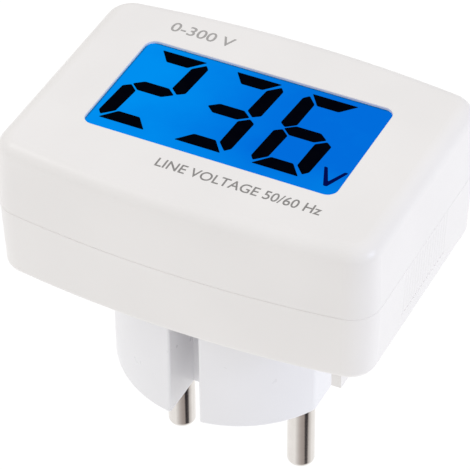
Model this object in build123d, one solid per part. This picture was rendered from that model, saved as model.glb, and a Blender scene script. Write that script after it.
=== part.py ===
from build123d import *
import os

# Plug-in mains voltmeter: a two-shell case with a display window, standing on a round
# two-pin plug turret with earth-clip grooves.
# Frame: origin at the centre of the turret's end face, +Z out of the display, pins down -Z,
# +X along the display's long side, +Y towards the top of the digits. Millimetres.

# ---- plug ----
pin_spacing = 19.0
pin_diameter = 4.0
pin_length = 19.0
pin_tip_round = 0.8
pin_shank_radius = 2.2
pin_collar_radius = 3.0
pin_tail_radius = 1.5
turret_diameter = 34.8
turret_across_flats = 30.7
turret_height = 17.8
turret_wall = 2.0
turret_end_wall = 2.5
turret_rim_round = 0.3
turret_edge_round = 1.5
groove_width = 4.3
groove_depth = 7.2
groove_wall = 1.6
groove_edge_round = 0.35
flange_radius = 20.6
flange_half_width = 17.6
flange_thickness = 2.4

# ---- case ----
case_length = 55.2
case_x = -0.2
case_y = -0.12
case_end_width = 36.7
case_bow = 2.2
case_corner_radius = 4.2
cover_height = 11.0
base_height = 10.85
cover_draft = 1.6
base_draft = 2.4
case_wall = 1.8
cover_edge_round = 2.3
base_edge_round = 1.2
lap_height = 1.2
lap_thickness = 0.8
lap_gap = 0.1
seam_bevel = 0.1

# ---- grip scallops on the base's short ends ----
grip_groove_count = 16
grip_pitch = 0.9
grip_groove_width = 0.6
grip_groove_depth = 0.05
grip_groove_height = 7.6

# ---- feet under the base ----
foot_x = 22.4
foot_y = 15.3
foot_width = 1.4
foot_run = 3.8
foot_drop = 2.9

# ---- display ----
window_length = 36.6
window_width = 19.85
window_corner_radius = 1.5
window_x = -0.3
window_y = 0.55
window_lip = 0.4
window_edge_round = 0.15
glass_margin = 1.2
glass_ledge = 3.0
glass_thickness = 1.1
film_thickness = 0.2
glass_gap = 0.05
frame_wall = 0.9
frame_gap = 0.1
led_bay = 1.4

# ---- board and fixings ----
board_thickness = 1.6
board_length = 50.4
board_width = 32.0
light_guide_thickness = 2.7
case_screw_x = 23.9
case_screw_y = 10.8
case_screw_radius = 1.1
case_screw_length = 10.0
case_post_radius = 3.0
cover_boss_radius = 2.4
counterbore_radius = 2.2
board_screw_x = 23.4
board_boss_radius = 1.9
board_screw_radius = 0.9
board_screw_length = 4.6
turret_screw_x = 18.3
turret_screw_y = 6.5
turret_boss_radius = 2.2
retainer_screw_y = 4.2
retainer_thickness = 2.0
pilot_clearance = 0.05

# ---- levels along Z worked out from the sizes above ----
case_bottom = turret_height
parting = case_bottom + base_height
case_top = parting + cover_height
floor_top = case_bottom + case_wall
ceiling = case_top - case_wall
lip_under = case_top - window_lip
polarizer_top = lip_under - glass_gap
front_glass_top = polarizer_top - film_thickness
rear_glass_top = front_glass_top - glass_thickness
rear_glass_bottom = rear_glass_top - glass_thickness
diffuser_top = rear_glass_bottom - film_thickness
guide_top = diffuser_top - film_thickness
guide_bottom = guide_top - light_guide_thickness
board_top = guide_bottom - film_thickness
board_bottom = board_top - board_thickness
collar_bottom = 6.0
collar_top = 7.5
pin_tail_top = 14.0
flange_top = floor_top + flange_thickness
counterbore_top = case_bottom + 4.2

glass_length = window_length + 2 * glass_margin
rear_glass_width = window_width + 2 * glass_margin
front_glass_width = rear_glass_width + glass_ledge
front_glass_y = window_y - glass_ledge / 2


def block(length, width, bottom, top, x=0.0, y=0.0, corner=0.0):
    """An upright block between two levels, with its vertical edges rounded by corner."""
    solid = Pos(x, y, (bottom + top) / 2) * Box(length, width, top - bottom)
    return fillet(solid.edges().filter_by(Axis.Z), corner) if corner else solid


def rod(radius, bottom, top, x=0.0, y=0.0):
    """An upright cylinder between two levels."""
    return Pos(x, y, (bottom + top) / 2) * Cylinder(radius, top - bottom)


def four(x, y):
    """The four places that are mirror images of (x, y)."""
    return [(i * x, j * y) for i in (-1, 1) for j in (-1, 1)]


def one(shape):
    """The single solid of a shape."""
    return shape.solids()[0]


def save(node, solids):
    """Write one node: a single solid, or a group of separate ones."""
    shape = solids if not isinstance(solids, list) else Compound(children=solids)
    export_step(shape, f"parts/{node}.step")


def case_outline(inset=0.0):
    """The case seen from above: straight ends, bowed long sides, round corners."""
    left = case_x - case_length / 2
    right = case_x + case_length / 2
    near = case_y - case_end_width / 2
    far = case_y + case_end_width / 2
    front = ThreePointArc((left, near), (case_x, near - case_bow), (right, near))
    back = ThreePointArc((right, far), (case_x, far + case_bow), (left, far))
    edges = Curve() + [front, Line((right, near), (right, far)), back, Line((left, far), (left, near))]
    face = fillet(make_face(edges).vertices(), case_corner_radius)
    return offset(face, -inset) if inset else face


def turret_outline(radius, across):
    """A circle with two flats square to the line of the pins, eased where they meet it."""
    return fillet((Circle(radius) & Rectangle(across, 3 * radius)).vertices(), turret_edge_round)


def grooved_outline():
    """The turret's outline with both earth-clip grooves let in and their mouths eased."""
    radius = turret_diameter / 2
    outline = turret_outline(radius, turret_across_flats)
    for side in (-1, 1):
        y = side * (radius + 1 - (groove_depth + 1) / 2)
        outline -= Pos(0, y) * Rectangle(groove_width, groove_depth + 1)
    mouths = outline.vertices().filter_by(lambda v: abs(v.Y) > radius - 1)
    return fillet(mouths, groove_edge_round)


def cover_shell():
    """Outer form of the cover, narrowing upwards, with a generous round along its top edge."""
    solid = Pos(0, 0, parting) * extrude(case_outline(), cover_height, taper=cover_draft)
    solid = fillet(solid.faces().sort_by(Axis.Z)[-1].edges(), cover_edge_round)
    return chamfer(solid.faces().sort_by(Axis.Z)[0].edges(), seam_bevel)


def base_shell():
    """Outer form of the base, narrowing downwards, with a small round along its bottom edge."""
    lower = extrude(case_outline(), base_height, taper=base_draft)
    solid = Pos(0, 0, parting) * mirror(lower, Plane.XY)
    solid = fillet(solid.faces().sort_by(Axis.Z)[0].edges(), base_edge_round)
    return chamfer(solid.faces().sort_by(Axis.Z)[-1].edges(), seam_bevel)


def front_cover():
    """Upper shell: window with a thin lip, bosses for the case and board screws."""
    outer = cover_shell()
    hollow = extrude(case_outline(case_wall), cover_height - case_wall, taper=cover_draft)
    body = outer - Pos(0, 0, parting) * hollow
    for x, y in four(case_screw_x, case_screw_y):
        body += rod(cover_boss_radius, parting + lap_height, ceiling, x, y) & outer
    for x in (-board_screw_x, board_screw_x):
        body += rod(board_boss_radius, board_top, ceiling + 0.1, x)
    pocket = (glass_length + 0.3, front_glass_width + 0.3)
    window = (window_length, window_width)
    body -= block(*pocket, ceiling - 1, lip_under, window_x, front_glass_y)
    body -= block(*window, ceiling, case_top + 1, window_x, window_y, window_corner_radius)
    for x, y in four(case_screw_x, case_screw_y):
        pilot_end = counterbore_top + case_screw_length + 1
        body -= rod(case_screw_radius + pilot_clearance, parting, pilot_end, x, y)
    for x in (-board_screw_x, board_screw_x):
        body -= rod(board_screw_radius + pilot_clearance, board_top, ceiling, x)
    rim = body.edges().filter_by(lambda e: on_window_rim(e))
    return one(fillet(rim, window_edge_round))


def on_window_rim(edge):
    """True for the edges where the window breaks the cover's top face."""
    centre = edge.center()
    near_x = abs(centre.X - window_x) < window_length / 2 + 0.1
    near_y = abs(centre.Y - window_y) < window_width / 2 + 0.1
    return abs(centre.Z - case_top) < 0.01 and near_x and near_y


def grip_cut(side):
    """Fine shallow scallops, side by side and upright, cut into one short end of the base."""
    scallop_radius = (grip_groove_width ** 2 / 4 + grip_groove_depth ** 2) / (2 * grip_groove_depth)
    axis_x = scallop_radius - grip_groove_depth
    face_x = case_length / 2 + side * case_x
    cuts = []
    for i in range(grip_groove_count):
        y = case_y + (i - (grip_groove_count - 1) / 2) * grip_pitch
        scallop = Pos(axis_x, y, -grip_groove_height / 2) * Cylinder(scallop_radius, grip_groove_height)
        cut = Pos(face_x, 0, parting) * Rot(0, base_draft, 0) * scallop
        cuts.append(cut if side > 0 else mirror(cut, Plane.YZ))
    return cuts


def rear_base():
    """Lower shell: opening for the turret, screw posts, lap edge, grip scallops and two feet."""
    outer = base_shell()
    hollow = mirror(extrude(case_outline(case_wall), base_height - case_wall, taper=base_draft), Plane.XY)
    body = outer - Pos(0, 0, parting) * hollow
    lap_out = extrude(case_outline(case_wall + lap_gap), lap_height, taper=cover_draft)
    lap_in = extrude(case_outline(case_wall + lap_gap + lap_thickness), lap_height + 2)
    lap = Pos(0, 0, parting) * lap_out
    lap += Pos(0, 0, parting - 1) * extrude(case_outline(case_wall - 0.2), 1.0)
    body += lap - Pos(0, 0, parting - 1.5) * lap_in
    for x, y in four(case_screw_x, case_screw_y):
        body -= rod(cover_boss_radius + 0.2, parting, parting + 2 * lap_height, x, y)
        body += rod(case_post_radius, case_bottom, parting, x, y) & outer
    for x, y in four(turret_screw_x, turret_screw_y):
        body += rod(turret_boss_radius, floor_top, flange_top, x, y)
    opening = turret_outline(turret_diameter / 2 + 0.1, turret_across_flats + 0.2)
    body -= Pos(0, 0, case_bottom - 1) * extrude(opening, case_wall + 2)
    for x, y in ((foot_x, -foot_y), (-foot_x, foot_y)):
        body += block(foot_width, foot_run, case_bottom - foot_drop, floor_top, x, y)
    for x, y in four(case_screw_x, case_screw_y):
        body -= rod(case_screw_radius + 0.1, case_bottom, parting + 2, x, y)
        body -= rod(counterbore_radius, case_bottom - 1, counterbore_top, x, y)
    for x, y in four(turret_screw_x, turret_screw_y):
        body -= rod(board_screw_radius + pilot_clearance, case_bottom + 0.8, flange_top, x, y)
    for side in (-1, 1):
        for scallop in grip_cut(side):
            body -= scallop
    return one(body)


def plug_turret():
    """Round plug insert: flats, two earth-clip grooves, pin bosses and a clamping flange."""
    radius = turret_diameter / 2
    shell = extrude(grooved_outline(), case_bottom)
    shell = fillet(shell.faces().sort_by(Axis.Z)[0].edges(), turret_rim_round)
    neck = extrude(turret_outline(radius, turret_across_flats), flange_top - case_bottom)
    shell += Pos(0, 0, case_bottom) * neck
    flange = Circle(flange_radius) & Rectangle(3 * flange_radius, 2 * flange_half_width)
    body = shell + Pos(0, 0, floor_top) * extrude(flange, flange_thickness)
    inner = turret_outline(radius - turret_wall, turret_across_flats - 2 * turret_wall)
    body -= Pos(0, 0, turret_end_wall) * extrude(inner, flange_top)
    sleeve_depth = groove_depth + groove_wall
    sleeve_width = groove_width + 2 * groove_wall
    for side in (-1, 1):
        y = side * (radius - sleeve_depth / 2 - 0.3)
        body += block(sleeve_width, sleeve_depth - 0.6, turret_end_wall, case_bottom + groove_wall, 0, y)
    for side in (-1, 1):
        y = side * (radius + 1 - (groove_depth + 1) / 2)
        body -= block(groove_width, groove_depth + 1, -1, case_bottom, 0, y)
    for x in (-pin_spacing / 2, pin_spacing / 2):
        body += rod(4.0, turret_end_wall, collar_bottom, x)
        body -= rod(pin_shank_radius + pilot_clearance, -1, collar_bottom, x)
    for y in (-retainer_screw_y, retainer_screw_y):
        body += rod(2.2, turret_end_wall, collar_top, 0, y)
        body -= rod(board_screw_radius + pilot_clearance, turret_end_wall, collar_top, 0, y)
    for x, y in four(turret_screw_x, turret_screw_y):
        body -= rod(turret_boss_radius + 0.1, floor_top, flange_top, x, y)
    return one(body)


def plug_pin(x):
    """Bare round pin with a rounded tip, a thicker shank in the turret, a collar and a solder tail."""
    radius = pin_diameter / 2
    blade = rod(radius, -pin_length, 0, x)
    blade = fillet(blade.faces().sort_by(Axis.Z)[0].edges(), pin_tip_round)
    blade += rod(pin_shank_radius, 0, collar_bottom, x)
    blade += rod(pin_collar_radius, collar_bottom, collar_top, x)
    blade += rod(pin_tail_radius, collar_top, pin_tail_top, x)
    return one(blade)


def pin_retainer():
    """Plate that traps both pin collars against the bosses in the turret."""
    plate = block(26.0, 12.4, collar_top, collar_top + retainer_thickness, 0, 0, 2.0)
    for x in (-pin_spacing / 2, pin_spacing / 2):
        plate -= rod(pin_tail_radius + 0.1, collar_top - 1, collar_top + 3, x)
    for y in (-retainer_screw_y, retainer_screw_y):
        plate -= rod(board_screw_radius + 0.15, collar_top - 1, collar_top + 3, 0, y)
    return one(plate)


def pan_screw(x, y, seat, length, radius, points_up=True):
    """Pan-head cross-recess screw whose head bears on the level seat."""
    head_radius = 1.9 * radius
    head_height = 1.1 * radius
    head = rod(head_radius, -head_height, 0)
    head = fillet(head.faces().sort_by(Axis.Z)[0].edges(), 0.45 * head_height)
    shank = rod(radius, 0, length)
    shank = chamfer(shank.faces().sort_by(Axis.Z)[-1].edges(), 0.5 * radius)
    recess = Pos(0, 0, -head_height) * Box(1.3 * head_radius, 0.28 * head_radius, head_height)
    recess += Rot(0, 0, 90) * recess
    screw = head + shank - recess
    turn = Rot(0, 0, 0) if points_up else Rot(180, 0, 0)
    return one(Pos(x, y, seat) * turn * screw)


def main_board():
    """Glass-epoxy board with corner notches for the case bosses and holes for two screws."""
    board = block(board_length, board_width, board_bottom, board_top)
    notch = cover_boss_radius + 0.5
    for x, y in four(case_screw_x, case_screw_y):
        board -= block(2 * notch, 4 * notch, board_bottom - 1, board_top + 1, x, y + (y / abs(y)) * notch)
    board = fillet(board.edges().filter_by(Axis.Z), 0.5)
    for x in (-board_screw_x, board_screw_x):
        board -= rod(board_screw_radius + 0.15, board_bottom - 1, board_top + 1, x)
    for x, y in frame_pegs():
        board -= rod(0.7, board_bottom - 1, board_top + 1, x, y)
    return one(board)


def frame_pegs():
    """Places of the four pegs that locate the display frame on the board."""
    x = glass_length / 2 + frame_gap + frame_wall / 2
    y = front_glass_width / 2 - 6.0
    return [(window_x + i * x, front_glass_y + j * y) for i in (-1, 1) for j in (-1, 1)]


def display_frame():
    """Moulded frame that holds the light guide and glass, and walls off the contact strip."""
    top = rear_glass_top - 0.1
    length = glass_length + 2 * frame_gap
    width = front_glass_width + 2 * frame_gap
    outside = (length + 2 * frame_wall, width + 2 * frame_wall)
    ring = block(*outside, board_top, top, window_x, front_glass_y, 0.8)
    ring -= block(length, width, board_top - 1, top + 1, window_x, front_glass_y)
    bar_y = front_glass_y - front_glass_width / 2 + glass_ledge - 0.45
    ring += block(length + 0.2, 0.7, board_top, guide_top, window_x, bar_y)
    for x, y in frame_pegs():
        ring += rod(0.42, board_bottom - 0.5, board_top + 0.1, x, y)
    return one(ring)


def light_guide():
    """Clear acrylic plate, a bay left free at one end for the lamps, round dots moulded below."""
    length = glass_length - led_bay
    centre_x = window_x + led_bay / 2
    plate = block(length, rear_glass_width - 0.2, guide_bottom, guide_top, centre_x, window_y)
    return one(chamfer(plate.edges().filter_by(Axis.Z), 0.3))


def reflector_film():
    """White film between the board and the light guide."""
    length = glass_length - led_bay
    centre_x = window_x + led_bay / 2
    return one(block(length, rear_glass_width - 0.2, board_top, guide_bottom, centre_x, window_y))


def backlight_lamps():
    """Three side-facing lamps in the bay at the guide's end."""
    lamps = []
    x = window_x - glass_length / 2 + led_bay / 2
    for i in (-1, 0, 1):
        body = block(1.1, 3.0, board_top, board_top + 1.6, x, window_y + i * 6.5, 0.15)
        lamps.append(one(body))
    return lamps


def contact_strip():
    """Rubber strip of conducting layers between the board and the glass ledge."""
    y = front_glass_y - front_glass_width / 2 + glass_ledge / 2 - 0.35
    return one(block(glass_length - 2, 1.8, board_top, rear_glass_top, window_x, y, 0.2))


def display_layers():
    """The film and glass layers of the display, from the diffuser up to the front film."""
    wide = (glass_length, rear_glass_width)
    film = (window_length + 1.4, window_width + 1.4)
    layers = {}
    layers["diffuser_film"] = block(*wide, guide_top, diffuser_top, window_x, window_y)
    layers["rear_polarizer"] = block(*wide, diffuser_top, rear_glass_bottom, window_x, window_y)
    layers["rear_glass"] = block(*wide, rear_glass_bottom, rear_glass_top, window_x, window_y)
    front = block(glass_length, front_glass_width, rear_glass_top, front_glass_top, window_x, front_glass_y)
    layers["front_glass"] = chamfer(front.edges().filter_by(Axis.Z), 0.2)
    layers["front_polarizer"] = block(*film, front_glass_top, polarizer_top, window_x, window_y)
    return {name: one(solid) for name, solid in layers.items()}


def controller_chip():
    """Sixteen-leg wide package under the board."""
    body = block(10.3, 7.5, board_bottom - 2.45, board_bottom - 0.15, 0, 6.5)
    body = chamfer(body.edges().filter_by(Axis.Z, reverse=True), 0.25)
    body -= rod(0.6, board_bottom - 2.6, board_bottom - 2.35, -4.0, 4.2)
    return one(body)


def controller_legs():
    """Bent tin-plated legs along both long sides of the chip."""
    legs = []
    for side in (-1, 1):
        for i in range(8):
            x = (i - 3.5) * 1.27
            foot = Pos(x, 6.5 + side * 4.75, board_bottom - 0.1) * Box(0.4, 0.9, 0.2)
            rise = Pos(x, 6.5 + side * 4.3, board_bottom - 0.75) * Box(0.4, 0.2, 1.5)
            arm = Pos(x, 6.5 + side * 4.0, board_bottom - 1.4) * Box(0.4, 0.5, 0.2)
            legs.append(one(foot + rise + arm - controller_clear()))
    return legs


def controller_clear():
    """The space that the chip's body takes, so that its legs stop at its sides."""
    return block(10.3, 7.5, board_bottom - 2.45, board_bottom - 0.15, 0, 6.5)


def film_capacitor():
    """Boxed mains-dropper capacitor hanging under the board on two leads."""
    body = block(13.0, 6.0, board_bottom - 8.0, board_bottom - 0.5, 6.5, -10.2)
    body = fillet(body.edges(), 0.5)
    for x in (1.5, 11.5):
        body += rod(0.3, board_bottom - 0.6, board_bottom, x, -10.2)
    return one(body)


def electrolytic_capacitor():
    """Round can with a rolled groove near its seal, hanging under the board."""
    x = -5.5
    y = -9.6
    body = rod(3.15, board_bottom - 7.3, board_bottom - 0.3, x, y)
    body = fillet(body.edges(), 0.4)
    body -= Pos(x, y, board_bottom - 1.6) * Torus(3.35, 0.35)
    return one(body)


def axial(x, y, body_radius, body_length, reach):
    """A round body lying under the board along X, on two leads bent up into the board."""
    level = board_bottom - body_radius - 0.3
    body = Pos(x, y, level) * Rot(0, 90, 0) * Cylinder(body_radius, body_length)
    body = fillet(body.edges(), 0.25 * body_radius)
    wire = 0.3
    leads = Pos(x, y, level) * Rot(0, 90, 0) * Cylinder(wire, 2 * reach + 2 * wire)
    for side in (-1, 1):
        leads += rod(wire, level - wire, board_bottom, x + side * reach, y)
    return one(body + leads)


def calibration_trimmer():
    """Square trimmer with a slotted rotor facing down."""
    body = block(6.6, 6.6, board_bottom - 3.4, board_bottom, 14.5, 7.5)
    body = chamfer(body.edges().filter_by(Axis.Z), 0.5)
    body += rod(1.9, board_bottom - 4.0, board_bottom - 3.3, 14.5, 7.5)
    body -= block(2.8, 0.6, board_bottom - 4.1, board_bottom - 3.5, 14.5, 7.5)
    return one(body)


def chips(count, x, y, pitch, length, width, height):
    """A row of small surface-mount blocks under the board."""
    row = []
    for i in range(count):
        row.append(one(block(length, width, board_bottom - height, board_bottom, x + i * pitch, y)))
    return row


def lead_wire(x, out_x):
    """Insulated wire from a pin's tail up to its pad under the board."""
    low = pin_tail_top
    route = [(x, 0, low), (x, 0, low + 7.5), (out_x, 1.5, low + 12.5), (out_x, 1.5, board_bottom)]
    path = FilletPolyline(*route, radius=3.0)
    section = Plane(origin=route[0], z_dir=(0, 0, 1)) * Circle(0.8)
    return one(sweep(section, path))


def wire_sleeves():
    """Shrink sleeves over the two soldered joints."""
    sleeves = []
    for x in (-pin_spacing / 2, pin_spacing / 2):
        tube = rod(2.0, collar_top + retainer_thickness + 0.5, pin_tail_top + 3, x)
        tube -= rod(pin_tail_radius + pilot_clearance, collar_top, pin_tail_top + 4, x)
        sleeves.append(one(tube))
    return sleeves


def build():
    """Write every node."""
    save("front_cover", front_cover())
    save("rear_base", rear_base())
    save("plug_turret", plug_turret())
    save("line_pin", plug_pin(-pin_spacing / 2))
    save("neutral_pin", plug_pin(pin_spacing / 2))
    save("pin_retainer", pin_retainer())
    plate_top = collar_top + retainer_thickness
    save("retainer_screws", [pan_screw(0, y, plate_top, 5.5, board_screw_radius, False)
                             for y in (-retainer_screw_y, retainer_screw_y)])
    save("turret_screws", [pan_screw(x, y, flange_top, 3.0, board_screw_radius, False)
                           for x, y in four(turret_screw_x, turret_screw_y)])
    save("case_screws", [pan_screw(x, y, counterbore_top, case_screw_length, case_screw_radius)
                         for x, y in four(case_screw_x, case_screw_y)])
    save("board_screws", [pan_screw(x, 0, board_bottom, board_screw_length, board_screw_radius)
                          for x in (-board_screw_x, board_screw_x)])
    save("main_board", main_board())
    save("display_frame", display_frame())
    save("light_guide", light_guide())
    save("reflector_film", reflector_film())
    save("backlight_lamps", backlight_lamps())
    save("contact_strip", contact_strip())
    for name, solid in display_layers().items():
        save(name, solid)
    save("controller_chip", controller_chip())
    save("controller_legs", controller_legs())
    save("film_capacitor", film_capacitor())
    save("electrolytic_capacitor", electrolytic_capacitor())
    save("fusible_resistor", axial(-6.0, 13.6, 1.5, 8.0, 5.5))
    save("bleed_resistors", [axial(8.0, 13.6, 1.15, 6.3, 4.4), axial(-14.5, -13.6, 1.15, 6.3, 4.4)])
    save("rectifier_diodes", [axial(-13.2, y, 1.3, 5.0, 3.6) for y in (-9.5, -6.0, 4.6, 8.0)])
    save("zener_diode", axial(9.0, -4.6, 0.95, 4.0, 3.2))
    save("calibration_trimmer", calibration_trimmer())
    save("chip_resistors", chips(7, -8.0, -2.6, 2.2, 1.25, 2.0, 0.5))
    save("chip_capacitors", chips(4, -8.0, 0.0, 2.2, 1.25, 2.0, 0.8))
    save("line_wire", lead_wire(-pin_spacing / 2, -17.5))
    save("neutral_wire", lead_wire(pin_spacing / 2, 17.5))
    save("wire_sleeves", wire_sleeves())


os.makedirs("parts", exist_ok=True)
build()
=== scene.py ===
from math import cos, radians, sin

import bmesh
import bpy
from mathutils import Matrix, Vector


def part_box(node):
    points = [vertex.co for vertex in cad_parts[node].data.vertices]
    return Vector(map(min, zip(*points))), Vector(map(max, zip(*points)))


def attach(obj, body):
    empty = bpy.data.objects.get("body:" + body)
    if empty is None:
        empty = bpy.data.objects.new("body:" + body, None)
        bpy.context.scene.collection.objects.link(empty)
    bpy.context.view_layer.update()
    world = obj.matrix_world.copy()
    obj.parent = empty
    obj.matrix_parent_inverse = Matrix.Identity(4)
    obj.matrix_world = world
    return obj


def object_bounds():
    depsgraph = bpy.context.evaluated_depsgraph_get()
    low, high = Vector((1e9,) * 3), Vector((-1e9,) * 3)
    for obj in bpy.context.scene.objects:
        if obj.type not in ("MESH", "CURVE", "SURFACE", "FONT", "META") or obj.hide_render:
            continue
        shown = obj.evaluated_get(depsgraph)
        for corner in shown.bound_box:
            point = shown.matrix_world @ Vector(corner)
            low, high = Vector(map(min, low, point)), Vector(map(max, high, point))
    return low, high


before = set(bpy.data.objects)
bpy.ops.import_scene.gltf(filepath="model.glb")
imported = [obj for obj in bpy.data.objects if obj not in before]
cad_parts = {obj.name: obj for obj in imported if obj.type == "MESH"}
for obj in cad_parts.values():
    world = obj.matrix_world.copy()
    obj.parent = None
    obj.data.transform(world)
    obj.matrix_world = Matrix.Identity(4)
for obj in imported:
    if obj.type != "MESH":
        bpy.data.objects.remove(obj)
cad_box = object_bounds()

# ---------------------------------------------------------------------------------------------
# Case: an upper cover with the display window and a lower base that meet at a fine bevelled
# seam, held by four screws from below. Both are injection-moulded white ABS from a lightly
# spark-eroded tool: satin, clean, a fine grain, and tone that drifts a little with the flow.

MM = 0.001


def linear(colour):
    """An sRGB hex colour as the linear values that shaders work in."""
    levels = [int(colour[i:i + 2], 16) / 255 for i in (1, 3, 5)]
    return [v / 12.92 if v <= 0.04045 else ((v + 0.055) / 1.055) ** 2.4 for v in levels] + [1.0]


def add_node(owner, kind, inputs=None, **settings):
    """Adds a node. An input is a constant, a node (its first output in use) or an output."""
    node = owner.node_tree.nodes.new("ShaderNode" + kind)
    for name, value in settings.items():
        setattr(node, name, value)
    for name, value in (inputs or {}).items():
        if isinstance(value, bpy.types.Node):
            value = next(output for output in value.outputs if output.enabled)
        if isinstance(value, bpy.types.NodeSocket):
            owner.node_tree.links.new(value, node.inputs[name])
        else:
            node.inputs[name].default_value = value
    return node


def new_finish(name):
    """An empty material, and the coordinates that every pattern on it reads."""
    finish = bpy.data.materials.new(name)
    finish.use_nodes = True
    finish.node_tree.nodes.clear()
    return finish, add_node(finish, "TexCoord").outputs["Object"]


def surface(finish, **sockets):
    """Ends a finish with its shader. Socket names are written with _ for a space."""
    named = {name.replace("_", " "): value for name, value in sockets.items()}
    shader = add_node(finish, "BsdfPrincipled", named)
    add_node(finish, "OutputMaterial", {"Surface": shader})


def wear(finish, *pieces):
    """Puts a finish on CAD pieces, in every material slot that they have."""
    for piece in pieces:
        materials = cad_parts[piece].data.materials
        if not materials:
            materials.append(finish)
        for i in range(len(materials)):
            materials[i] = finish


flow_width = 16 * MM
gloss_patch = 4 * MM
gloss_drift = 0.05


def moulded_plastic(name, light, dark, roughness, ior, grain_mm, grain_depth_mm):
    """Moulded plastic: slow drift of tone and gloss from the melt's flow, and a tool grain."""
    finish, place = new_finish(name)
    flow = add_node(finish, "TexNoise", {"Vector": place, "Scale": 1 / flow_width, "Detail": 2.0})
    tone = add_node(finish, "MapRange", {"Value": flow, "From Min": 0.35, "From Max": 0.65})
    colour = add_node(finish, "Mix", {"Factor": tone, "A": linear(dark), "B": linear(light)},
                      data_type="RGBA")
    patches = add_node(finish, "TexNoise", {
        "Vector": place, "Scale": 1 / gloss_patch, "Detail": 4.0})
    gloss = add_node(finish, "MapRange", {
        "Value": patches, "From Min": 0.3, "From Max": 0.7,
        "To Min": roughness - gloss_drift, "To Max": roughness + gloss_drift})
    sparks = add_node(finish, "TexNoise", {
        "Vector": place, "Scale": 1 / (grain_mm * MM), "Detail": 3.0, "Roughness": 0.6})
    relief = add_node(finish, "Bump", {
        "Height": sparks, "Strength": 1.0, "Distance": grain_depth_mm * MM})
    surface(finish, Base_Color=colour, Roughness=gloss, IOR=ior, Normal=relief)
    return finish


# A spark-eroded grain is about 0.05 mm across; it is drawn at 0.3 mm, the finest that shows.
white_abs = moulded_plastic("moulded_white_abs", "#EAE7E5", "#E7E4E2", 0.36, 1.54, 0.3, 0.004)
wear(white_abs, "front_cover", "rear_base")

# ---------------------------------------------------------------------------------------------
# Printing on the cover: a range above the window, and a line of plain words and numbers below
# it. Both are pad printed in grey ink, the range in the lighter grey. The ink is a thin matt
# layer, a little uneven where the soft pad lifted off.

cover_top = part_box("front_cover")[1].z
ink_thickness = 0.02 * MM
ink_above = 0.012 * MM
ink_mottle = 0.25 * MM
type_weight = 0.008      # how far strokes swell, for letters one unit high
weld_distance = 0.001 * MM


def printing_ink(name, light, dark):
    """Matt ink, mottled where the pad lifted off."""
    ink, place = new_finish(name)
    speckle = add_node(ink, "TexNoise", {"Vector": place, "Scale": 1 / ink_mottle, "Detail": 3.0})
    tone = add_node(ink, "MapRange", {"Value": speckle, "From Min": 0.35, "From Max": 0.65})
    colour = add_node(ink, "Mix", {"Factor": tone, "A": linear(dark), "B": linear(light)},
                      data_type="RGBA")
    surface(ink, Base_Color=colour, Roughness=0.6)
    return ink


def piece_from(name, bm, finish):
    """A finished piece with its place in its mesh, riding on the one body."""
    mesh = bpy.data.meshes.new(name)
    bm.to_mesh(mesh)
    bm.free()
    mesh.materials.append(finish)
    piece = bpy.data.objects.new(name, mesh)
    bpy.context.scene.collection.objects.link(piece)
    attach(piece, "root")
    return piece


def print_line(name, words, ink, left, foot, height, length):
    """Words as a thin layer of ink, with capitals of this height, drawn out to this length."""
    curve = bpy.data.curves.new(name + "_curve", "FONT")
    curve.body = words
    curve.extrude = 0.5
    curve.offset = type_weight
    text = bpy.data.objects.new(name + "_curve", curve)
    bpy.context.scene.collection.objects.link(text)
    bpy.context.view_layer.update()
    solid = bpy.data.meshes.new_from_object(text)
    bpy.data.objects.remove(text)
    bm = bmesh.new()
    bm.from_mesh(solid)
    bpy.data.meshes.remove(solid)
    bpy.data.curves.remove(curve)
    low = Vector(min(v.co[i] for v in bm.verts) for i in range(3))
    high = Vector(max(v.co[i] for v in bm.verts) for i in range(3))
    bmesh.ops.translate(bm, verts=bm.verts, vec=-low)
    size = high - low
    scale = (length / size.x, height / size.y, ink_thickness / size.z)
    bmesh.ops.scale(bm, verts=bm.verts, vec=scale)
    level = cover_top + ink_above - ink_thickness
    bmesh.ops.translate(bm, verts=bm.verts, vec=(left, foot, level))
    bmesh.ops.remove_doubles(bm, verts=bm.verts, dist=weld_distance)
    bmesh.ops.recalc_face_normals(bm, faces=bm.faces)
    piece_from(name, bm, ink)


light_ink = printing_ink("pad_printed_light_grey_ink", "#A9A6A4", "#989593")
print_line("printed_range", "0-300 V", light_ink,
           left=-17.2 * MM, foot=13.4 * MM, height=2.0 * MM, length=9.4 * MM)
grey_ink = printing_ink("pad_printed_grey_ink", "#8F8C8A", "#7A7775")
print_line("printed_words", "LINE VOLTAGE 50/60 Hz", grey_ink,
           left=-5.6 * MM, foot=-13.6 * MM, height=1.75 * MM, length=23.5 * MM)

# ---------------------------------------------------------------------------------------------
# Front film of the display: a matt polarizer over the glass, lit from behind through a blue
# dye layer. The lamps stand at its left end, so the glow is lightest and a little greener
# there and along the lower edge, and deepens towards the far end. Along its top and left
# edges a painted shade darkens the glow, standing in for the shadow of the window's lip.

film_low, film_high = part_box("front_polarizer")
film_margin = 0.7 * MM
window_left = film_low[0] + film_margin
window_right = film_high[0] - film_margin
window_foot = film_low[1] + film_margin
window_top = film_high[1] - film_margin
deepest = window_right - 0.2 * (window_right - window_left)
light_foot = 6 * MM
glow_cloud = 7 * MM
# Width of the band of painted shade along the window's top and left edges.
painted_shade_width = 0.25 * MM
matting_width = 0.2 * MM
matting_relief = 0.002 * MM

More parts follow.
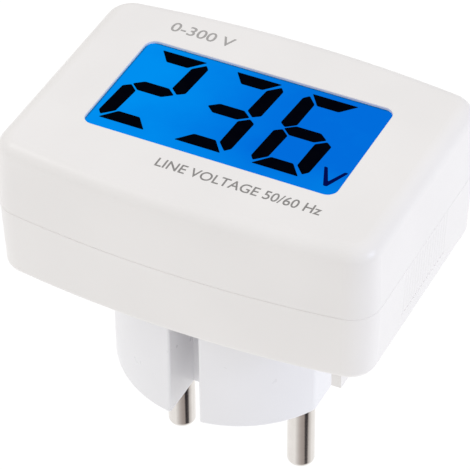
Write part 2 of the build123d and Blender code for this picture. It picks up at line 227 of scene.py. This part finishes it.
blue_film, place = new_finish("backlit_blue_polarizer")
axes = add_node(blue_film, "SeparateXYZ", {"Vector": place}).outputs
along = add_node(blue_film, "MapRange", {
    "Value": axes["X"], "From Min": window_left, "From Max": deepest},
    interpolation_type="SMOOTHSTEP")
upward = add_node(blue_film, "MapRange", {
    "Value": axes["Y"], "From Min": window_foot, "From Max": window_foot + light_foot,
    "To Min": 0.6, "To Max": 1.0}, interpolation_type="SMOOTHSTEP")
cloud = add_node(blue_film, "TexNoise", {"Vector": place, "Scale": 1 / glow_cloud, "Detail": 3.0})
uneven = add_node(blue_film, "MapRange", {
    "Value": cloud, "From Min": 0.3, "From Max": 0.7, "To Min": -0.12, "To Max": 0.12})
deep = add_node(blue_film, "Math", {0: along, 1: upward, 2: uneven}, operation="MULTIPLY_ADD")
glow = add_node(blue_film, "Mix", {
    "Factor": deep, "A": linear("#008EEE"), "B": linear("#016CDA")}, data_type="RGBA")
# Painted shade: within a quarter millimetre of the window's top and left edges, the glow is mixed
# towards a dark teal, standing in for the shadow of the window's lip.
painted_shade_from_left = add_node(blue_film, "MapRange", {
    "Value": axes["X"], "From Min": window_left, "From Max": window_left + painted_shade_width})
painted_shade_from_top = add_node(blue_film, "MapRange", {
    "Value": axes["Y"], "From Min": window_top, "From Max": window_top - painted_shade_width})
outside_painted_shade = add_node(blue_film, "Math", {0: painted_shade_from_left, 1: painted_shade_from_top}, operation="MINIMUM")
# The dark teal is the painted shadow of the lip.
glow_with_painted_shade = add_node(blue_film, "Mix", {
    "Factor": outside_painted_shade, "A": linear("#0A5A8C"), "B": glow}, data_type="RGBA")
# The matting's pits are under 0.05 mm across; they are drawn at 0.2 mm, the finest that shows.
matting = add_node(blue_film, "TexNoise", {"Vector": place, "Scale": 1 / matting_width})
relief = add_node(blue_film, "Bump", {
    "Height": matting, "Strength": 1.0, "Distance": matting_relief})
surface(blue_film, Base_Color=linear("#000A20"), Roughness=0.5, Specular_IOR_Level=0.0,
        Emission_Color=glow_with_painted_shade, Emission_Strength=1.0, Normal=relief)
wear(blue_film, "front_polarizer", "rear_polarizer")

# ---------------------------------------------------------------------------------------------
# Figures of the display: leaning seven-segment digits that read 236, and a thin V. Each is a
# patch of liquid crystal turned dark, nearly black and without gloss, here a very thin plate
# on the film.

digit_width = 8.35
digit_height = 16.6
digit_pitch = 11.2
digit_lean = 0.066
digits_left = window_left + 0.7 * MM
digits_foot = window_foot + 2.22 * MM
figure_thickness = 0.02 * MM
figure_gap = 0.005 * MM
figure_level = film_high.z + figure_gap
figure_rounding = 0.18
figure_cloud = 1.5 * MM

dark_crystal, place = new_finish("darkened_liquid_crystal")
cloud = add_node(dark_crystal, "TexNoise", {"Vector": place, "Scale": 1 / figure_cloud})
colour = add_node(dark_crystal, "Mix", {
    "Factor": cloud, "A": linear("#010108"), "B": linear("#04060D")}, data_type="RGBA")
surface(dark_crystal, Base_Color=colour, Roughness=0.5, Specular_IOR_Level=0.0)


def lay_plate(bm, outline, rounding):
    """A thin plate with rounded corners, from the few corners of its outline."""
    corners = [bm.verts.new((x * MM, y * MM, 0)) for x, y in outline]
    bm.faces.new(corners)
    bmesh.ops.bevel(bm, geom=corners, offset=rounding * MM, segments=3, profile=0.5,
                    affect="VERTICES", material=-1)


def thicken(bm, place):
    """Raises flat faces into plates and sets them down at their place."""
    bmesh.ops.recalc_face_normals(bm, faces=bm.faces)
    for face in bm.faces:
        if face.normal.z > 0:
            face.normal_flip()
    raised = bmesh.ops.extrude_face_region(bm, geom=bm.faces[:], use_keep_orig=True)["geom"]
    lifted = [part for part in raised if isinstance(part, bmesh.types.BMVert)]
    bmesh.ops.translate(bm, verts=lifted, vec=(0, 0, figure_thickness))
    bmesh.ops.recalc_face_normals(bm, faces=bm.faces)
    bmesh.ops.translate(bm, verts=bm.verts, vec=place)


def mirrored(outline, x_sum=None, y_sum=None):
    """An outline turned over left to right, or top to bottom, or both."""
    return [(x if x_sum is None else x_sum - x, y if y_sum is None else y_sum - y)
            for x, y in outline]


# Outlines stand upright with the origin at the digit's lower left corner, in millimetres.
right, top, middle = digit_width, digit_height, digit_height / 2
bar = [(0.75, top), (right - 0.9, top), (right - 2.7, top - 2.15), (2.5, top - 2.15)]
post = [(right - 0.65, top - 0.6), (right, top - 1.35), (right, middle + 0.95),
        (right - 0.95, middle + 0.25), (right - 2.2, middle + 1.3), (right - 2.1, top - 2.05)]
cross_bar = [(1.0, middle), (2.25, middle + 1.05), (right - 2.5, middle + 1.05),
             (right - 1.2, middle), (right - 2.5, middle - 1.05), (2.25, middle - 1.05)]
segments = {
    "top": bar, "bottom": mirrored(bar, y_sum=top), "cross": cross_bar, "upper_right": post,
    "upper_left": mirrored(post, x_sum=right), "lower_right": mirrored(post, y_sum=top),
    "lower_left": mirrored(post, x_sum=right, y_sum=top),
}
digits = {
    "figure_hundreds": ("top", "upper_right", "cross", "lower_left", "bottom"),
    "figure_tens": ("top", "upper_right", "cross", "lower_right", "bottom"),
    "figure_units": ("top", "upper_left", "cross", "lower_left", "lower_right", "bottom"),
}
lean = Matrix(((1, digit_lean, 0, 0), (0, 1, 0, 0), (0, 0, 1, 0), (0, 0, 0, 1)))
for order, (name, lit) in enumerate(digits.items()):
    bm = bmesh.new()
    for segment in lit:
        lay_plate(bm, segments[segment], figure_rounding)
    bmesh.ops.transform(bm, matrix=lean, verts=bm.verts)
    thicken(bm, (digits_left + order * digit_pitch * MM, digits_foot, figure_level))
    piece_from(name, bm, dark_crystal)

# The V is one thin stroke bent to a point, and the blue shows through it a little.
navy_crystal, place = new_finish("navy_liquid_crystal")
cloud = add_node(navy_crystal, "TexNoise", {"Vector": place, "Scale": 1 / figure_cloud})
colour = add_node(navy_crystal, "Mix", {
    "Factor": cloud, "A": linear("#020A46"), "B": linear("#041058")}, data_type="RGBA")
surface(navy_crystal, Base_Color=colour, Roughness=0.5, Specular_IOR_Level=0.0)
mark_left = window_left + 32.75 * MM
mark_foot = window_foot + 2.0 * MM
mark_width = 3.45
mark_height = 3.6
mark_rounding = 0.16
stroke = 0.5
mark = [(0, mark_height), (stroke, mark_height), (mark_width / 2, 2.0 * stroke),
        (mark_width - stroke, mark_height), (mark_width, mark_height),
        (mark_width / 2 + 0.5 * stroke, 0), (mark_width / 2 - 0.5 * stroke, 0)]
bm = bmesh.new()
lay_plate(bm, mark, mark_rounding)
thicken(bm, (mark_left, mark_foot, figure_level))
piece_from("figure_unit_mark", bm, navy_crystal)

# ---------------------------------------------------------------------------------------------
# Rest of the display: two plates of float glass that hold the liquid crystal, a diffuser, a
# clear acrylic light guide with matt dots on its back, a reflector, and the white frame that
# holds them to the board.

haze_patch = 10 * MM
float_glass, place = new_finish("thin_float_glass")
cloud = add_node(float_glass, "TexNoise", {"Vector": place, "Scale": 1 / haze_patch})
haze = add_node(float_glass, "MapRange", {"Value": cloud, "To Min": 0.0, "To Max": 0.04})
surface(float_glass, Base_Color=linear("#E6F3EF"), Roughness=haze, IOR=1.52,
        Transmission_Weight=1.0)
wear(float_glass, "front_glass", "rear_glass")

dot_pitch = 1.2 * MM
clear_acrylic, place = new_finish("clear_moulded_acrylic")
dots = add_node(clear_acrylic, "TexVoronoi", {
    "Vector": place, "Scale": 1 / dot_pitch, "Randomness": 0.0})
matt = add_node(clear_acrylic, "MapRange", {
    "Value": dots, "From Min": 0.3, "From Max": 0.35, "To Min": 0.6, "To Max": 0.03})
surface(clear_acrylic, Base_Color=linear("#F2F8FC"), Roughness=matt, IOR=1.49,
        Transmission_Weight=1.0)
wear(clear_acrylic, "light_guide")

white_film = moulded_plastic("white_pet_film", "#F2F3F4", "#EBEDEF", 0.55, 1.57, 0.25, 0.003)
wear(white_film, "diffuser_film", "reflector_film")
frame_white = moulded_plastic("moulded_white_polycarbonate", "#EFF0F0", "#E8E9EA", 0.42, 1.58,
                              0.3, 0.004)
wear(frame_white, "display_frame")

# ---------------------------------------------------------------------------------------------
# Small parts, bought in and soldered or clipped to the board: their finishes differ in colour
# and gloss, and each is mottled at its own scale.


def small_part(name, light, dark, patch_mm, roughness, **sockets):
    """A mottled finish for a small bought-in part."""
    finish, place = new_finish(name)
    mottle = add_node(finish, "TexNoise", {
        "Vector": place, "Scale": 1 / (patch_mm * MM), "Detail": 4.0})
    tone = add_node(finish, "MapRange", {"Value": mottle, "From Min": 0.35, "From Max": 0.65})
    colour = add_node(finish, "Mix", {"Factor": tone, "A": linear(dark), "B": linear(light)},
                      data_type="RGBA")
    gloss = add_node(finish, "MapRange", {
        "Value": mottle, "To Min": roughness - 0.1, "To Max": roughness + 0.1})
    surface(finish, Base_Color=colour, Roughness=gloss, **sockets)
    return finish


# Lamps: milky white epoxy in a white housing. Contact strip and sleeves: black rubber.
wear(small_part("milky_lamp_epoxy", "#F0EDD2", "#E4DFBC", 0.6, 0.35), "backlight_lamps")
wear(small_part("black_silicone_rubber", "#1C1C1E", "#242427", 0.5, 0.6),
     "contact_strip", "wire_sleeves")
# Glass-filled polyester boxes, glossy shrink sleeve, moulded epoxy packages.
wear(small_part("yellow_filled_polyester", "#D9A441", "#CC9636", 1.0, 0.4), "film_capacitor")
wear(small_part("blue_filled_polyester", "#2C5FA8", "#24529A", 0.8, 0.4), "calibration_trimmer")
wear(small_part("dark_shrink_sleeve", "#20243A", "#191C30", 1.5, 0.28), "electrolytic_capacitor")
wear(small_part("black_moulded_epoxy", "#29292C", "#1E1E21", 0.3, 0.55),
     "controller_chip", "rectifier_diodes")
# Fired and lacquered ceramics, and a sealed glass bead.
wear(small_part("lacquered_ceramic", "#C9AE86", "#BA9D72", 0.8, 0.35),
     "fusible_resistor", "bleed_resistors")
wear(small_part("fired_ceramic", "#6B5F52", "#54493F", 0.3, 0.5),
     "chip_resistors", "chip_capacitors")
wear(small_part("orange_sealed_glass", "#C76A3A", "#A84E28", 0.6, 0.15), "zener_diode")
# Tinned copper legs: soft silver-grey with a cloudy gloss.
wear(small_part("tinned_copper", "#C9C8C3", "#B5B3AD", 0.4, 0.3, Metallic=1.0), "controller_legs")
# Extruded PVC jackets, brown for line and blue for neutral.
wear(small_part("brown_extruded_pvc", "#6E3B22", "#5E2F1A", 1.2, 0.42), "line_wire")
wear(small_part("blue_extruded_pvc", "#2460A8", "#1D5296", 1.2, 0.42), "neutral_wire")

# ---------------------------------------------------------------------------------------------
# Main board: woven glass cloth in epoxy, 1.6 mm thick, under green solder mask. The weave
# shows faintly through the mask as a fine check, in tone and in relief.

weave_pitch = 0.5 * MM
weave_relief = 0.01 * MM
mask_cloud = 5 * MM
solder_mask, place = new_finish("solder_mask_on_glass_epoxy")
weave = add_node(solder_mask, "TexChecker", {"Vector": place, "Scale": 1 / weave_pitch})
colour = add_node(solder_mask, "Mix", {
    "Factor": weave.outputs["Fac"], "A": linear("#1B5A2E"), "B": linear("#206636")},
    data_type="RGBA")
relief = add_node(solder_mask, "Bump", {
    "Height": weave.outputs["Fac"], "Strength": 0.5, "Distance": weave_relief})
cloud = add_node(solder_mask, "TexNoise", {
    "Vector": place, "Scale": 1 / mask_cloud, "Detail": 3.0})
gloss = add_node(solder_mask, "MapRange", {"Value": cloud, "To Min": 0.2, "To Max": 0.4})
surface(solder_mask, Base_Color=colour, Roughness=gloss, IOR=1.55, Normal=relief)
wear(solder_mask, "main_board")

# ---------------------------------------------------------------------------------------------
# Screws: thread-forming, steel, with a cross recess. Zinc plating gives a bluish grey with
# soft mottling and a cloudy gloss.

wear(small_part("zinc_plated_steel", "#BCBFC5", "#A2A7AF", 0.7, 0.38, Metallic=1.0),
     "case_screws", "board_screws", "turret_screws", "retainer_screws")

# ---------------------------------------------------------------------------------------------
# Plug turret and the plate inside it that holds the pins: moulded in a glass-filled polyester
# that stands heat. Its white is a touch cooler than the case, and its skin a little glossier.

cool_white = moulded_plastic("moulded_white_polyester", "#EBEAEC", "#E8E7E9", 0.32, 1.57,
                             0.35, 0.004)
wear(cool_white, "plug_turret", "pin_retainer")

# ---------------------------------------------------------------------------------------------
# Contact pins: turned brass, plated with nickel over their whole length. Bright and faintly
# warm, with fine turning rings, and fine scratches along the pin from going in and out.

plating_cloud = 2 * MM
ring_pitch = 0.2 * MM
ring_relief = 0.002 * MM
scratch_width = 0.3 * MM
nickel, place = new_finish("nickel_plated_brass")
cloud = add_node(nickel, "TexNoise", {
    "Vector": place, "Scale": 1 / plating_cloud, "Detail": 4.0})
colour = add_node(nickel, "Mix", {
    "Factor": cloud, "A": linear("#D3CEC9"), "B": linear("#DEDAD6")}, data_type="RGBA")
# Rings run round the pin. Scratches run along it, many times longer than they are wide. The
# real ones are about 0.05 mm wide; both are drawn as coarse as they need to be to show.
ringed = add_node(nickel, "Mapping", {"Vector": place, "Scale": (0.05, 0.05, 1)})
rings = add_node(nickel, "TexNoise", {"Vector": ringed, "Scale": 1 / ring_pitch, "Detail": 2.0})
drawn_out = add_node(nickel, "Mapping", {"Vector": place, "Scale": (1, 1, 0.04)})
scratches = add_node(nickel, "TexNoise", {
    "Vector": drawn_out, "Scale": 1 / scratch_width, "Detail": 3.0})
gloss = add_node(nickel, "MapRange", {
    "Value": scratches, "From Min": 0.3, "From Max": 0.7, "To Min": 0.05, "To Max": 0.13})
relief = add_node(nickel, "Bump", {"Height": rings, "Strength": 0.6, "Distance": ring_relief})
surface(nickel, Base_Color=colour, Metallic=1.0, Roughness=gloss, Normal=relief)
wear(nickel, "line_pin", "neutral_pin")

# ---------------------------------------------------------------------------------------------
# Studio: the object stands on its pins on a plain white light table, in a white tent. The
# table glows, so no dark shadow falls on it. Shiny metal doesn't see the table but what is
# under it, where a grey screen and a narrower dark card draw the pins' shading.

table_cloud = 60 * MM
table_half_width = 2.0
table_strength = 0.99
table_glow, place = new_finish("glowing_white_table")
cloud = add_node(table_glow, "TexNoise", {"Vector": place, "Scale": 1 / table_cloud})
colour = add_node(table_glow, "Mix", {
    "Factor": cloud, "A": linear("#3C3C3C"), "B": linear("#444444")}, data_type="RGBA")
surface(table_glow, Base_Color=colour, Roughness=0.8, Specular_IOR_Level=0.0,
        Emission_Color=linear("#FFFFFF"), Emission_Strength=table_strength)
bm = bmesh.new()
bmesh.ops.create_grid(bm, x_segments=1, y_segments=1, size=table_half_width)
bmesh.ops.translate(bm, verts=bm.verts, vec=(0, 0, cad_box[0][2]))
mesh = bpy.data.meshes.new("table_top")
bm.to_mesh(mesh)
bm.free()
mesh.materials.append(table_glow)
table = bpy.data.objects.new("table_top", mesh)
table.visible_glossy = False
bpy.context.scene.collection.objects.link(table)

tent = bpy.data.worlds.new("white_tent")
tent.use_nodes = True
tent.node_tree.nodes.clear()
direction = add_node(tent, "TexCoord").outputs["Generated"]
height = add_node(tent, "SeparateXYZ", {"Vector": direction}).outputs["Z"]
below = add_node(tent, "MapRange", {"Value": height, "From Min": -0.1, "From Max": -0.25})
horizon_strength = 0.6
zenith_strength = 1.11
under_strength = 1.12


def screen(azimuth, edge, core):
    """How far a direction lies inside a screen under the table, centred at this azimuth in
    degrees to the right of the front. It fades in from the cosine edge to the cosine core."""
    centre = (sin(radians(azimuth)), -cos(radians(azimuth)), 0)
    towards = add_node(tent, "VectorMath", {0: direction, 1: centre}, operation="DOT_PRODUCT")
    inside = add_node(tent, "MapRange", {
        "Value": towards.outputs["Value"], "From Min": edge, "From Max": core})
    return add_node(tent, "Math", {0: inside, 1: below}, operation="MULTIPLY")


grey_side = add_node(tent, "Mix", {
    "Factor": screen(azimuth=48, edge=0.2, core=0.76),
    "A": linear("#FFFFFF"), "B": linear("#A59B97")}, data_type="RGBA")
light = add_node(tent, "Mix", {
    "Factor": screen(azimuth=69, edge=0.68, core=0.71),
    "A": grey_side, "B": linear("#302C30")}, data_type="RGBA")
overhead = add_node(tent, "MapRange", {
    "Value": height, "From Min": 0.0, "From Max": 1.0,
    "To Min": horizon_strength, "To Max": zenith_strength})
strength = add_node(tent, "Mix", {"Factor": below, "A": overhead, "B": under_strength},
                    data_type="FLOAT")
sky = add_node(tent, "Background", {"Color": light, "Strength": strength})
add_node(tent, "OutputWorld", {"Surface": sky})
bpy.context.scene.world = tent

# A large, faintly blue light stands low on the right, just behind the object's middle, and
# makes the right end the lightest side. A small weak one above the front left corner lifts it.
middle_point = (Vector(cad_box[0]) + Vector(cad_box[1])) / 2


def softbox(name, place, size, energy, colour):
    """A square soft light turned towards the object."""
    light = bpy.data.lights.new(name, "AREA")
    light.shape = "SQUARE"
    light.size = size
    light.energy = energy
    light.color = linear(colour)[:3]
    box = bpy.data.objects.new(name, light)
    box.location = place
    box.rotation_euler = (box.location - middle_point).to_track_quat("Z", "Y").to_euler()
    bpy.context.scene.collection.objects.link(box)


softbox("right_softbox", place=(1.2, 0.12, 0.25), size=0.5, energy=3.3, colour="#D2DEFF")
softbox("left_softbox", place=(-0.3, -0.1, 0.4), size=0.15, energy=0.2, colour="#FFFFFF")

# Camera: in front of the object, to its right and well above it, far off with a long lens.
azimuth = radians(26.445)
elevation = radians(40.307)
roll = radians(-0.477)
distance = 0.42455
focal_length = 232.1
sensor_width = 36.0
nearest = 0.01
away = Vector((sin(azimuth) * cos(elevation), -cos(azimuth) * cos(elevation), sin(elevation)))
aim = Vector((-4.85, 8.32, 11.33)) * MM
lens = bpy.data.cameras.new("camera")
lens.lens = focal_length
lens.sensor_width = sensor_width
lens.clip_start = nearest
camera = bpy.data.objects.new("camera", lens)
camera.location = aim + away * distance
turned = away.to_track_quat("Z", "Y").to_matrix() @ Matrix.Rotation(roll, 3, "Z")
camera.rotation_euler = turned.to_euler()
bpy.context.scene.collection.objects.link(camera)
bpy.context.scene.camera = camera
bpy.context.scene.view_settings.view_transform = "Standard"
